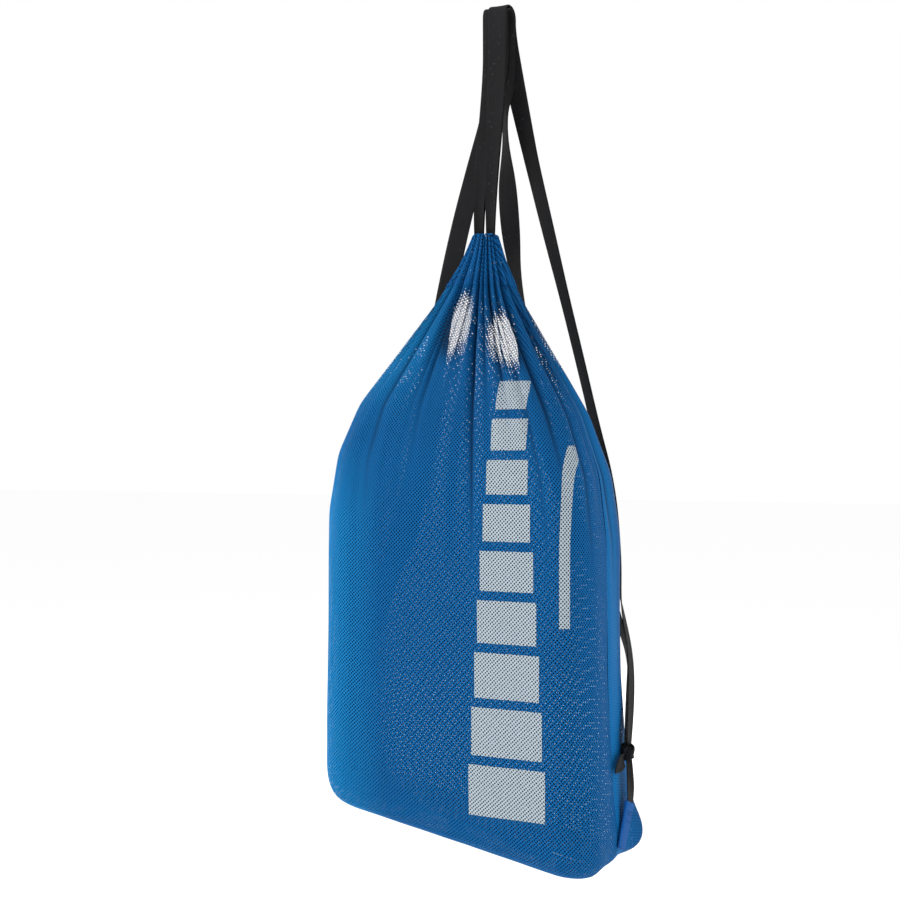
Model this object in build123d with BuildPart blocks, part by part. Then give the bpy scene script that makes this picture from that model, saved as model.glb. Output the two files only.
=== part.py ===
"""A mesh kit bag hung by its two drawcord tapes, full-size, in millimetres.

The origin is the centre of the peg that the tapes hang over. +Z is up, the bag's front faces
-Y and its width runs along X. Below the peg come the tapes, the gathered mouth with its tape
channel, the flared neck and the box-shaped body, whose bottom slopes down to the right.
"""

import os
from math import cos, radians, sin

from build123d import *

os.makedirs("parts", exist_ok=True)

# Tapes
PEG_RADIUS = 8.0
TAPE_WIDTH = 20.0
TAPE_THICKNESS = 1.2
LAYER_STEP = 1.5  # from one tape to the next where they lie over each other on the peg
STUB_LENGTH = 20.0  # straight tape below the peg that stays with the hang loop
SPLIT_GAP = 0.4  # between a hang loop's stub and the tape that turns below it
LOOP_X = 3.0  # how far each drawcord's loop sits from the middle of the peg
FOLDED_WIDTH = 12.0  # a tape's width where it folds in on itself to enter the mouth
CURVE_STEPS = 5  # flat facets along each bend of a tape

# Bag
MID_Y = -21.0  # the plane of the side seams, which parts the front from the back
WALL = 2.4
CHANNEL_HEIGHT = 50.0
CHANNEL_SLIT = 2.0  # side opening of the channel, where the tapes come out
JOINT_GAP = 0.3  # between one sewn piece and the next
RING_HEIGHT = 21.0  # pocket for the tape rings inside the gathered channel
RING_RADII = [7.9, 9.3]  # inner radius of the left and the right drawcord's ring in the channel
RING_DROP = 3.6  # from the mouth down to the rings
RING_ROOM = 0.4  # clear above and below the rings, a little less beside them
RING_GAP_DEG = 24.0  # the rings' side opening, where their ends leave
SEAM_HALF_WIDTH = 5.0
SEAM_FOOT_Z = {-1: -766.0, 1: -806.0}
SEAM_DROP = 4.0  # from the channel's foot down to the top of the seams
STITCH_DROP = 4.0  # from the channel's foot up to its row of stitches
STITCH_WIDTH = 0.9

# The outer shape, from the mouth to the bottom. Each section is a rounded rectangle:
# height, centre x, half width, half depth, corner radius, wall, slope to the right.
SECTIONS = [
    (-222.0, -6.2, 12.5, 12.5, 12.4, 6.0, 0.00),
    (-246.0, -8.0, 21.0, 18.0, 17.5, 5.0, 0.00),
    (-285.0, -12.0, 43.0, 32.0, 31.0, 3.2, 0.02),
    (-340.0, -16.0, 80.0, 52.0, 47.0, WALL, 0.04),
    (-395.0, -18.5, 115.0, 68.0, 50.0, WALL, 0.06),
    (-450.0, -18.9, 134.0, 76.0, 38.0, WALL, 0.08),
    (-510.0, -18.9, 141.5, 78.0, 31.0, WALL, 0.10),
    (-640.0, -18.9, 142.5, 78.0, 31.0, WALL, 0.13),
    (-784.0, -14.9, 146.5, 78.0, 31.0, WALL, 0.17),
    (-802.0, -14.9, 143.0, 74.5, 28.0, WALL, 0.18),
    (-811.0, -14.9, 135.0, 66.0, 24.0, WALL, 0.18),
]

# Printed graphic
PRINT_X = 48.0
PRINT_BARS = 9
PRINT_FOOT_Z = -780.0
PRINT_GAP = 9.0
PRINT_FOOT_WIDTH = 78.0
PRINT_TOP_WIDTH = 30.0
PRINT_FOOT_HEIGHT = 48.0
PRINT_TOP_HEIGHT = 27.0
STRIPE_X = 104.0
STRIPE_MID_Z = -505.0
STRIPE_WIDTH = 9.0
STRIPE_HEIGHT = 190.0

# Knots, tails and corner tabs
KNOT_X = {-1: -171.5, 1: 133.7}
KNOT_Y = 4.0
KNOT_Z = {-1: -695.0, 1: -731.0}
KNOT_SIZE = (9.0, 21.0, 17.0)
KNOT_CORNER = 3.0
KNOT_FOOT_FILLET = 2.5
KNOT_PASS_X = 1.2  # each pass of a cord enters the knot this far from its middle
TAIL_LENGTH = 22.0
TAIL_ROOT = 11.2  # from the knot's middle forward to the tail
TAIL_SAG = 6.0  # the tail's middle is this far below the knot's
TAIL_TIP = 11.0
TAB_SIZE = (24.0, 4.6, 40.0)
TAB_CORNER = 1.2
TAB_OUT = 3.2  # from the knot out to the tab's top
TAB_FORWARD = 4.0
TAB_DROP = 48.0
TAB_LEAN = (148.6, 3.0, 42.0)  # where the tab's foot points: out from the body, back, down
SLOT_SIZE = (20.6, 1.8, 22.0)
CORD_END_DEPTH = 15.0  # how far the cord's end reaches into the tab
BAR_TACK = (16.0, 1.4, 0.5)
BAR_TACK_DROPS = (6.0, 16.0)
BAR_TACK_OUT = 2.72

MOUTH_Z = SECTIONS[0][0]
CHANNEL_FOOT_Z = MOUTH_Z - CHANNEL_HEIGHT
MOUTH_X = SECTIONS[0][1]
RING_TOP_Z = MOUTH_Z - RING_DROP
BODY_X = SECTIONS[-1][1]
FAR = 2000.0  # larger than the bag, for cutting blocks


def section_plane(height, centre_x, slope):
    """The plane of a section, tipped so that its right end is the lower one."""
    return Plane(
        origin=(centre_x, MID_Y, height),
        x_dir=Vector(1, 0, -slope).normalized(),
        z_dir=Vector(slope, 0, 1).normalized(),
    )


def bag_form(inset, floor_lift=0.0):
    """The solid inside the bag's outer shape, moved in by the given share of the wall."""
    with BuildPart(mode=Mode.PRIVATE) as form:
        for height, centre_x, half_width, half_depth, corner, wall, slope in reversed(SECTIONS):
            shift = inset * wall if wall > WALL else inset * WALL
            is_bottom = height == SECTIONS[-1][0]
            level = height + (floor_lift if is_bottom else 0.0)
            with BuildSketch(section_plane(level, centre_x, slope)):
                RectangleRounded(
                    2 * (half_width - shift), 2 * (half_depth - shift), max(corner - shift, 1.0)
                )
        loft(ruled=True)
    return form.part


OUTER = bag_form(0.0)
INNER = bag_form(1.0, floor_lift=WALL)
SEAM_OUTER = bag_form(1.15, floor_lift=WALL + 0.4)
SEAM_INNER = bag_form(1.75, floor_lift=WALL + 1.8)
STITCH_OUTER = bag_form(-0.45)
STITCH_INNER = bag_form(-0.08)
PRINT_OUTER = bag_form(-0.2)
PRINT_INNER = bag_form(-0.04)


def slab(low, high):
    """A cutting block between two corners."""
    size = [b - a for a, b in zip(low, high)]
    centre = [(a + b) / 2 for a, b in zip(low, high)]
    return Pos(*centre) * Box(*size)


def half_slab(side, low_z, high_z, gap):
    """Everything in front of (-1) or behind (+1) the side seams, between two heights."""
    near, far = MID_Y + side * gap / 2, MID_Y + side * FAR
    return slab((-FAR, min(near, far), low_z), (FAR, max(near, far), high_z))


def write(piece, label):
    """Name a finished piece and write it to its own file."""
    piece.label = label
    export_step(piece, f"parts/{label}.step")


# ---------------------------------------------------------------- mesh panels and channel
def make_panel(side, label):
    """One half of the mesh body, from the channel down and round the bottom fold."""
    below_channel = half_slab(side, -FAR, CHANNEL_FOOT_Z, JOINT_GAP)
    with BuildPart() as panel:
        add(OUTER)
        add(INNER, mode=Mode.SUBTRACT)
        add(below_channel, mode=Mode.INTERSECT)
    write(panel.part, label)


def make_channel(side, label):
    """One half of the gathered channel, hollow where the tape rings lie."""
    above_panel = half_slab(side, CHANNEL_FOOT_Z + JOINT_GAP, FAR, CHANNEL_SLIT)
    with BuildPart() as channel:
        add(OUTER)
        add(INNER, mode=Mode.SUBTRACT)
        add(above_panel, mode=Mode.INTERSECT)
        with BuildSketch(Plane.XY.offset(RING_TOP_Z + RING_ROOM)):
            with Locations((MOUTH_X, MID_Y)):
                Circle(RING_RADII[-1] + TAPE_THICKNESS + JOINT_GAP)
                Circle(RING_RADII[0] - JOINT_GAP, mode=Mode.SUBTRACT)
        extrude(amount=-(RING_HEIGHT + RING_ROOM), mode=Mode.SUBTRACT)
    write(channel.part, label)


make_panel(-1, "front_panel")
make_panel(+1, "back_panel")
make_channel(-1, "front_channel")
make_channel(+1, "back_channel")


# ---------------------------------------------------------------- seams and stitching
def make_side_seam(side, label):
    """The doubled edges of the two panels, sewn together inside the side of the bag."""
    middle, outside = BODY_X, BODY_X + side * FAR
    foot_z = SEAM_FOOT_Z[side]
    strip = slab(
        (min(middle, outside), MID_Y - SEAM_HALF_WIDTH, foot_z),
        (max(middle, outside), MID_Y + SEAM_HALF_WIDTH, CHANNEL_FOOT_Z - SEAM_DROP),
    )
    with BuildPart() as seam:
        add(SEAM_OUTER)
        add(SEAM_INNER, mode=Mode.SUBTRACT)
        add(strip, mode=Mode.INTERSECT)
    write(seam.part, label)


def make_hem_stitching(side, label):
    """A row of thread that closes the channel along its foot."""
    row_z = CHANNEL_FOOT_Z + STITCH_DROP
    row = half_slab(side, row_z, row_z + STITCH_WIDTH, CHANNEL_SLIT)
    with BuildPart() as stitching:
        add(STITCH_OUTER)
        add(STITCH_INNER, mode=Mode.SUBTRACT)
        add(row, mode=Mode.INTERSECT)
    write(stitching.part, label)


make_side_seam(-1, "left_side_seam")
make_side_seam(+1, "right_side_seam")
make_hem_stitching(-1, "front_hem_stitching")
make_hem_stitching(+1, "back_hem_stitching")


# ---------------------------------------------------------------- printed graphic
def make_print():
    """A column of plain bars and one slim stripe, printed on the front of the mesh."""
    with BuildPart() as graphic:
        with BuildSketch(Plane.XZ.offset(-MID_Y)) as outlines:
            bar_z = PRINT_FOOT_Z
            for count in range(PRINT_BARS):
                share = count / (PRINT_BARS - 1)
                width = PRINT_FOOT_WIDTH + (PRINT_TOP_WIDTH - PRINT_FOOT_WIDTH) * share
                height = PRINT_FOOT_HEIGHT + (PRINT_TOP_HEIGHT - PRINT_FOOT_HEIGHT) * share
                with Locations((PRINT_X, bar_z + height / 2)):
                    Rectangle(width, height)
                bar_z += height + PRINT_GAP
            with Locations((STRIPE_X, STRIPE_MID_Z)):
                Rectangle(STRIPE_WIDTH, STRIPE_HEIGHT)
        extrude(outlines.sketch, amount=FAR)
        add(PRINT_OUTER, mode=Mode.INTERSECT)
        add(PRINT_INNER, mode=Mode.SUBTRACT)
    write(graphic.part, "printed_bars")


make_print()


# ---------------------------------------------------------------- drawcord tapes
def tape_plane(point, heading, facing_deg):
    """A cross-section plane of a tape: its flat side looks towards facing_deg about Z."""
    facing = Vector(cos(radians(facing_deg)), sin(radians(facing_deg)), 0)
    heading = heading.normalized()
    facing = (facing - heading * facing.dot(heading)).normalized()
    return Plane(origin=point, x_dir=facing.cross(heading), z_dir=heading)


def along_curve(stops):
    """Points along the smooth curve that is pulled towards each inner stop in turn."""
    if len(stops) < 3:
        return list(stops)
    halfway = [(a + b) * 0.5 for a, b in zip(stops[1:-2], stops[2:-1])]
    joints = [stops[0], *halfway, stops[-1]]
    points = [stops[0]]
    for start, pull, end in zip(joints, stops[1:-1], joints[1:]):
        for step in range(1, CURVE_STEPS + 1):
            t = step / CURVE_STEPS
            points.append(start * (1 - t) ** 2 + pull * (2 * t * (1 - t)) + end * t**2)
    return points


def facing_vector(degrees):
    """The level direction that a tape's flat side faces, in degrees about Z from +X."""
    return Vector(cos(radians(degrees)), sin(radians(degrees)), 0)


def triangles(corners):
    """A four-cornered patch as two flat faces that share the diagonal from the first corner."""
    a, b, c, d = corners
    return [Face(Wire.make_polygon([a, b, c])), Face(Wire.make_polygon([a, c, d]))]


def make_tape(route, level_foot=True):
    """A flat tape that follows a smooth curve through space, as one solid of flat facets.

    Each stop of the route is x, y, z, the direction that the tape faces, and its width. The
    head is cut level, and so is the foot unless it is to be square to the tape.
    """
    centres = along_curve([Vector(*stop[:3]) for stop in route])
    facings = along_curve([facing_vector(stop[3]) for stop in route])
    widths = along_curve([Vector(stop[4], 0, 0) for stop in route])
    last = len(centres) - 1
    sections = []
    for index, (centre, facing, width) in enumerate(zip(centres, facings, widths)):
        heading = centres[min(index + 1, last)] - centres[max(index - 1, 0)]
        if index == 0 or (index == last and level_foot):
            heading = Vector(0, 0, -1)
        heading = heading.normalized()
        facing = (facing - heading * facing.dot(heading)).normalized()
        across = facing.cross(heading) * (width.X / 2)
        out = facing * (TAPE_THICKNESS / 2)
        offsets = [-across - out, across - out, across + out, out - across]
        sections.append([centre + offset for offset in offsets])
    faces = [*triangles(sections[0]), *triangles(sections[-1])]
    for upper, lower in zip(sections, sections[1:]):
        for corner in range(4):
            after = (corner + 1) % 4
            if corner in (0, 1):
                patch = [upper[corner], upper[after], lower[after], lower[corner]]
            else:
                patch = [upper[after], upper[corner], lower[corner], lower[after]]
            faces += triangles(patch)
    tape = Solid(Shell(faces))
    length = sum((b - a).length for a, b in zip(centres, centres[1:]))
    print(f"tape length {length:.1f} mm, valid {tape.is_valid}")
    return tape


def centre_radius(layer):
    """The radius of a tape's middle where it goes over the peg as the given layer."""
    return PEG_RADIUS + LAYER_STEP * layer + TAPE_THICKNESS / 2


def make_hang_loop(label, layers, centre_x):
    """A drawcord's two passes over the peg, with a short straight stub on each side."""
    with BuildPart() as loop:
        for layer in layers:
            middle = centre_radius(layer)
            with BuildSketch(Plane.YZ.offset(centre_x - TAPE_WIDTH / 2)):
                Circle(middle + TAPE_THICKNESS / 2)
                Circle(middle - TAPE_THICKNESS / 2, mode=Mode.SUBTRACT)
                with Locations((0, -FAR / 2)):
                    Rectangle(FAR, FAR, mode=Mode.SUBTRACT)
                for side in (-1, 1):
                    with Locations((side * middle, -STUB_LENGTH / 2)):
                        Rectangle(TAPE_THICKNESS, STUB_LENGTH)
            extrude(amount=TAPE_WIDTH)
    write(loop.part, label)


SPLIT_Z = -STUB_LENGTH - SPLIT_GAP
RUN_FOOT_Z = MOUTH_Z + 0.6
STRAIGHT_Z = -62.0  # the tapes hang straight from the peg about as far as this

make_hang_loop("left_hang_loop", (0, 2), -LOOP_X)
make_hang_loop("right_hang_loop", (1, 3), LOOP_X)

# The runs from the peg down to the mouth: side, layer, x and y at the mouth.
MOUTH_RUNS = {
    "left_inner_mouth_run": (-1, 0, MOUTH_X - 6.8, MID_Y + 2.0),
    "right_inner_mouth_run": (1, 1, MOUTH_X + 6.8, MID_Y + 0.5),
    "left_outer_mouth_run": (-1, 2, MOUTH_X - 6.8, MID_Y - 1.0),
    "right_outer_mouth_run": (1, 3, MOUTH_X + 6.8, MID_Y - 2.5),
}
for label, (side, layer, foot_x, foot_y) in MOUTH_RUNS.items():
    head_y = -centre_radius(layer)
    route = [
        (side * LOOP_X, head_y, SPLIT_Z, -90.0, TAPE_WIDTH),
        (side * LOOP_X, head_y, STRAIGHT_Z, -90.0, TAPE_WIDTH),
        (foot_x, foot_y, RUN_FOOT_Z + 45.0, -90.0, TAPE_WIDTH),
        (foot_x, foot_y, RUN_FOOT_Z, -90.0, FOLDED_WIDTH),
    ]
    write(make_tape(route), label)

# The runs from the peg down the back of the bag to the knots, as x, y, z, facing.
BACK_RUNS = {
    "right_outer_back_run": (1, 3, [
        (30.0, 29.0, -160.0, 88.0),
        (81.0, 55.0, -400.0, 82.0),
        (94.0, 64.5, -475.0, 74.0),
        (101.5, 65.0, -545.0, 66.0),
        (109.7, 61.0, -600.0, 55.0),
        (122.0, 51.0, -640.0, 40.0),
        (128.5, 31.5, -682.0, 20.0),
        (KNOT_X[1] + KNOT_PASS_X, KNOT_Y, KNOT_Z[1] + 9.0, 5.0),
    ]),
    "right_inner_back_run": (1, 1, [
        (-1.0, 27.0, -200.0, 90.0),
        (18.0, 54.0, -395.0, 88.0),
        (42.0, 63.0, -470.0, 86.0),
        (70.0, 64.5, -535.0, 80.0),
        (92.0, 62.5, -580.0, 68.0),
        (107.5, 58.0, -615.0, 52.0),
        (119.7, 48.0, -645.0, 38.0),
        (125.6, 30.8, -682.0, 20.0),
        (KNOT_X[1] - KNOT_PASS_X, KNOT_Y, KNOT_Z[1] + 9.0, 5.0),
    ]),
    "left_outer_back_run": (-1, 2, [
        (-78.0, 38.0, -290.0, 100.0),
        (-124.0, 65.0, -450.0, 106.0),
        (-142.0, 62.5, -515.0, 120.0),
        (-157.8, 56.0, -578.0, 137.0),
        (-168.0, 31.0, -640.0, 158.0),
        (KNOT_X[-1] - KNOT_PASS_X, KNOT_Y, KNOT_Z[-1] + 9.0, 175.0),
    ]),
    "left_inner_back_run": (-1, 0, [
        (-72.0, 33.0, -290.0, 98.0),
        (-112.0, 63.5, -450.0, 101.0),
        (-131.0, 63.0, -520.0, 113.0),
        (-151.8, 55.6, -572.0, 134.0),
        (-165.2, 30.0, -640.0, 158.0),
        (KNOT_X[-1] + KNOT_PASS_X, KNOT_Y, KNOT_Z[-1] + 9.0, 175.0),
    ]),
}
for label, (side, layer, stops) in BACK_RUNS.items():
    head_y = centre_radius(layer)
    route = [(side * LOOP_X, head_y, z, 90.0, TAPE_WIDTH) for z in (SPLIT_Z, STRAIGHT_Z)]
    route += [(*stop, TAPE_WIDTH) for stop in stops]
    write(make_tape(route), label)


def make_ring(side, radius, label):
    """A drawcord's turn round the mouth, inside the channel, open where its ends leave."""
    exit_deg = 180.0 if side < 0 else 0.0
    with BuildPart() as ring:
        with BuildSketch(Plane.XY.offset(RING_TOP_Z)):
            with Locations((MOUTH_X, MID_Y)):
                Circle(radius + TAPE_THICKNESS)
                Circle(radius, mode=Mode.SUBTRACT)
            with BuildLine():
                reach = 3 * radius
                centre = Vector(MOUTH_X, MID_Y)
                edges = [
                    centre + Vector(reach, 0).rotate(Axis.Z, exit_deg + turn)
                    for turn in (-RING_GAP_DEG / 2, RING_GAP_DEG / 2)
                ]
                Polyline(centre, *edges, close=True)
            make_face(mode=Mode.SUBTRACT)
        extrude(amount=-(RING_HEIGHT - RING_ROOM))
    write(ring.part, label)


make_ring(-1, RING_RADII[0], "left_channel_ring")
make_ring(+1, RING_RADII[1], "right_channel_ring")


# ---------------------------------------------------------------- knots, tails and corner tabs
def make_knot(side, label):
    """The knot that ties a drawcord's two ends together."""
    width, depth, height = KNOT_SIZE
    top_z = KNOT_Z[side] + height / 2 + SPLIT_GAP / 2
    with BuildPart() as knot:
        with BuildSketch(Plane.XY.offset(top_z)):
            with Locations((KNOT_X[side], KNOT_Y)):
                RectangleRounded(width, depth, KNOT_CORNER)
        extrude(amount=-height)
        fillet(knot.edges().group_by(Axis.Z)[0], KNOT_FOOT_FILLET)
    write(knot.part, label)


def make_tail(side, label):
    """The short free tail of a knot, which points to the front, with a slanted tip."""
    with BuildPart() as tail:
        with Locations((KNOT_X[side] - side, KNOT_Y - TAIL_ROOT, KNOT_Z[side] - TAIL_SAG)):
            Box(TAPE_THICKNESS, TAIL_LENGTH, TAPE_WIDTH, align=(Align.CENTER, Align.MAX, Align.CENTER))
        tip = tail.edges().filter_by(Axis.X).group_by(Axis.Y)[0].group_by(Axis.Z)[0]
        chamfer(tip, TAIL_TIP)
    write(tail.part, label)


def tab_frame(side):
    """The top of a corner tab, the way it hangs and the way that its flat side faces."""
    lean_x, lean_y, lean_z = TAB_LEAN
    top = Vector(KNOT_X[side] + side * TAB_OUT, KNOT_Y - TAB_FORWARD, KNOT_Z[side] - TAB_DROP)
    foot = Vector(BODY_X + side * lean_x, MID_Y + lean_y, top.Z - lean_z)
    facing_deg = 0.0 if side > 0 else 180.0
    return top, (foot - top).normalized(), facing_deg


def make_tab(side, label):
    """The folded sleeve of mesh sewn into a bottom corner, with a slot for the cord's end."""
    top, down, facing_deg = tab_frame(side)
    plane = tape_plane(top, down, facing_deg)
    with BuildPart() as tab:
        with BuildSketch(plane) as outer:
            RectangleRounded(*TAB_SIZE[:2], TAB_CORNER)
        extrude(outer.sketch, amount=TAB_SIZE[2])
        with BuildSketch(plane) as slot:
            Rectangle(*SLOT_SIZE[:2])
        extrude(slot.sketch, amount=SLOT_SIZE[2], mode=Mode.SUBTRACT)
    write(tab.part, label)


def make_cord_end(side, label):
    """The end of a drawcord, from its knot down into the corner tab."""
    top, down, facing_deg = tab_frame(side)
    knot_foot_z = KNOT_Z[side] - KNOT_SIZE[2] / 2 - SPLIT_GAP / 2
    head = Vector(KNOT_X[side] + side * TAPE_THICKNESS / 2, KNOT_Y, knot_foot_z)
    lined_up = [top + down * along for along in (-6.0, -2.0, CORD_END_DEPTH)]
    route = [(*stop, facing_deg, TAPE_WIDTH) for stop in (head, *lined_up)]
    write(make_tape(route, level_foot=False), label)


def make_bar_tacks(side, label):
    """The bars of dense stitching across both faces of a corner tab."""
    top, down, facing_deg = tab_frame(side)
    length, height, depth = BAR_TACK
    with BuildPart() as bar_tack:
        for drop in BAR_TACK_DROPS:
            plane = tape_plane(top + down * drop, down, facing_deg)
            for face in (-1, 1):
                out = plane.y_dir * face
                row = Plane(origin=plane.origin + out * BAR_TACK_OUT, x_dir=plane.x_dir, z_dir=out)
                with BuildSketch(row) as bar:
                    Rectangle(length, height)
                extrude(bar.sketch, amount=depth)
    write(bar_tack.part, label)


for side, name in ((-1, "left"), (1, "right")):
    make_knot(side, f"{name}_knot")
    make_tail(side, f"{name}_cord_tail")
    make_tab(side, f"{name}_corner_tab")
    make_cord_end(side, f"{name}_cord_end")
    make_bar_tacks(side, f"{name}_tab_stitching")
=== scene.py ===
"""A mesh kit bag hung by its drawcord tapes: the looks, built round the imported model.

Everything is in metres in the model's own frame: the origin is the centre of the peg, +Z up,
the bag's front faces -Y. Shapes below are worked out in millimetres and scaled by MM.
"""

import math

import bpy
import numpy as np
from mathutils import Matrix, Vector


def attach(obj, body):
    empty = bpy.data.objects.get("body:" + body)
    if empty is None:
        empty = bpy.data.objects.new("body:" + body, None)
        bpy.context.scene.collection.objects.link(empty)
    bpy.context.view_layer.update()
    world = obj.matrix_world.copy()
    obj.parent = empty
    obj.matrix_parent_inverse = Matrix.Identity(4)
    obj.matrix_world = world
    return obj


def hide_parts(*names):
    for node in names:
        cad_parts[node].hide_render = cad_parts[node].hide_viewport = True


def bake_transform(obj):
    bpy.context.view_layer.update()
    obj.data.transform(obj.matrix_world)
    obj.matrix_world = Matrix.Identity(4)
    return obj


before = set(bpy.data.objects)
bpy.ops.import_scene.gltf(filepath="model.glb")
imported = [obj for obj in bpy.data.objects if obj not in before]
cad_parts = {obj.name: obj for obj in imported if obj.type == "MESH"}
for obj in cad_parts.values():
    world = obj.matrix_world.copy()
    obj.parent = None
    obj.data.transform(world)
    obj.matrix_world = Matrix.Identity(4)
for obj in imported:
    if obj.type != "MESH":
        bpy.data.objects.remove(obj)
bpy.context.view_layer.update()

MM = 0.001

# ---- driving sizes, millimetres
MID_Y = -21.0  # plane of the side seams
FOOT_X = -14.9  # middle of the bag's foot
MOUTH_X = -6.2
MOUTH_Z = -222.0
CHANNEL_FOOT_Z = -272.0
PANEL_WIDTH = 420.0  # one panel, flat, between its side seams
MESH_PITCH = 3.5  # from one hole of the mesh to the next
PITCH_STRETCH = 1.06  # the pitch down the cloth, as a share of the pitch across
HOLE_SHAPE = 1.6  # 1 would make a hole a diamond, and 2 a circle
BACK_KNIT_TURN = math.radians(33.0)  # so that the panels' holes never line up
TAPE_WIDTH = 20.0
TAPE_THICKNESS = 1.2
PEG_RADIUS = 8.0
LAYER_STEP = 1.5  # from one tape to the next where they lie over each other on the peg
LOOP_X = 3.0  # how far each drawcord's loop sits from the middle of the peg
FOLDED_WIDTH = 10.0  # a tape's width where it folds in on itself to enter the mouth

# The bag's outer shape from the mouth to the bottom fold: height, centre x, half width, half
# depth, corner radius, slope to the right. The last rows run under the bottom.
STATIONS = np.array([
    (-222.0, -6.2, 12.5, 12.5, 12.4, 0.00),
    (-246.0, -8.0, 21.0, 18.0, 17.5, 0.00),
    (-285.0, -12.0, 43.0, 32.0, 31.0, 0.02),
    (-340.0, -16.0, 80.0, 52.0, 47.0, 0.04),
    (-395.0, -18.5, 115.0, 68.0, 50.0, 0.06),
    (-450.0, -18.9, 134.0, 76.0, 45.0, 0.08),
    (-510.0, -18.9, 141.5, 78.0, 40.0, 0.10),
    (-640.0, -18.9, 142.5, 78.0, 40.0, 0.13),
    (-784.0, -14.9, 146.5, 78.0, 37.0, 0.17),
    (-802.0, -14.9, 143.0, 74.5, 34.0, 0.18),
    (-811.0, -14.9, 135.0, 66.0, 28.0, 0.18),
    (-813.5, -14.9, 119.0, 50.0, 22.0, 0.18),
    (-815.0, -14.9, 70.0, 1.0, 0.9, 0.18),
])
RUNS = np.hypot(np.diff(STATIONS[:, 0]), np.diff(STATIONS[:, 3]))
STATION_AT = np.concatenate([[0.0], np.cumsum(RUNS)])  # distance down the cloth of each station
CLOTH_END = float(STATION_AT[-1])
SMOOTHING = 16.0  # how far the stations' corners are rounded, down the cloth
LEAST_ARC, NO_TURN = 1e-6, 1e-9  # guards against a corner of no size and against rounding


def rise(value, start, length):
    """0 up to start, then straight up to 1 over the given length."""
    return np.clip((value - start) / length, 0, 1)


def fall(value, end, length):
    """1 at first, then straight down over the given length to 0 at the end."""
    return np.clip((end - value) / length, 0, 1)


def off_spot(across, down, place, level, wide, long):
    """How far off a spot's middle a point of the cloth is, squared, in the spot's own sizes."""
    return ((across - place) / wide) ** 2 + ((down - level) / long) ** 2


def smoothed_stations():
    """The stations every millimetre down the cloth, with their corners rounded off."""
    along = np.arange(0.0, CLOTH_END + 1.0)
    reach = int(SMOOTHING)
    kernel = np.hanning(2 * reach + 1)
    kernel /= kernel.sum()
    columns = []
    for column in range(STATIONS.shape[1]):
        values = np.interp(along, STATION_AT, STATIONS[:, column])
        before = 2 * values[0] - values[reach:0:-1]
        after = 2 * values[-1] - values[-2:-reach - 2:-1]
        columns.append(np.convolve(np.concatenate([before, values, after]), kernel, "valid"))
    return along, np.stack(columns, axis=1)


CLOTH_AT, CLOTH = smoothed_stations()


def station(down):
    """Height, centre x, half width, half depth, corner radius and slope at a distance down."""
    return [np.interp(down, CLOTH_AT, CLOTH[:, column]) for column in range(CLOTH.shape[1])]


def down_at(height):
    """The distance down the cloth at a height on the bag's side."""
    return float(np.interp(-height, -STATIONS[:, 0], STATION_AT))


def outline(across, half_width, half_depth, corner):
    """Points of the front half's outline, their outward normals and the outline's length.

    It starts in the middle of the left side, runs over the front and ends on the right side.
    """
    side = half_depth - corner
    arc = corner * math.pi / 2
    front = 2 * (half_width - corner)
    total = 2 * side + 2 * arc + front
    distance = across * total
    turn_one = np.clip((distance - side) / np.maximum(arc, LEAST_ARC), 0, 1)
    turn_two = np.clip((distance - side - arc - front) / np.maximum(arc, LEAST_ARC), 0, 1)
    angle = (turn_one + turn_two) * math.pi / 2
    normal_x, normal_y = -np.cos(angle), -np.sin(angle)
    along_front = np.clip(distance - side - arc, 0, front)
    up_left = np.clip(distance, 0, side)
    up_right = np.clip(distance - side - 2 * arc - front, 0, side)
    on_left, on_right = turn_one < NO_TURN, turn_two > 1 - NO_TURN
    x = np.where(on_left, -half_width, -(half_width - corner) + along_front + corner * normal_x)
    x = np.where(on_right, half_width, x)
    y = np.where(on_left, -up_left, -side + up_right + corner * normal_y)
    y = np.where(on_right, -side + up_right, y)
    return x, y, normal_x, normal_y, total


# ---- pleats
PLEATS = 15  # valleys in each half of the gathered neck
PLEAT_DEPTHS = (  # how deep a valley is at each distance down the cloth
    (0.0, 4.2), (30.0, 6.5), (70.0, 11.5), (120.0, 10.5), (180.0, 7.0), (240.0, 3.8), (330.0, 1.6),
)
rng = np.random.default_rng(7)


def make_pleats():
    """Each valley's place across the cloth, half width, reach down the cloth, sway and depth."""
    places = (np.arange(PLEATS) + 0.5) / PLEATS * PANEL_WIDTH
    places += rng.uniform(-9.0, 9.0, PLEATS)
    widths = rng.uniform(10.0, 17.0, PLEATS)
    fades = rng.uniform(230.0, 420.0, PLEATS)
    sways = rng.uniform(-5.0, 5.0, PLEATS)
    depths = rng.uniform(0.45, 1.1, PLEATS)
    return np.stack([places, widths, fades, sways, depths], axis=1)


PLEAT_SETS = {-1: make_pleats(), 1: make_pleats()}


def cloth_uv(side, across, down):
    """Where the knit's pattern lies: its holes keep their size as the cloth gathers."""
    _, _, half_width, half_depth, corner, _ = station(down)
    width = 2 * (half_width + half_depth - corner * (2 - math.pi / 2))
    u = (across - 0.5) * width * (1 + 0.3 * fall(down, 260.0, 200.0))
    turn = BACK_KNIT_TURN if side > 0 else 0.0
    turned_u = u * math.cos(turn) + down * math.sin(turn)
    turned_v = down * math.cos(turn) - u * math.sin(turn)
    return np.stack([turned_u, turned_v], axis=-1).reshape(-1, 2)


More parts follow.
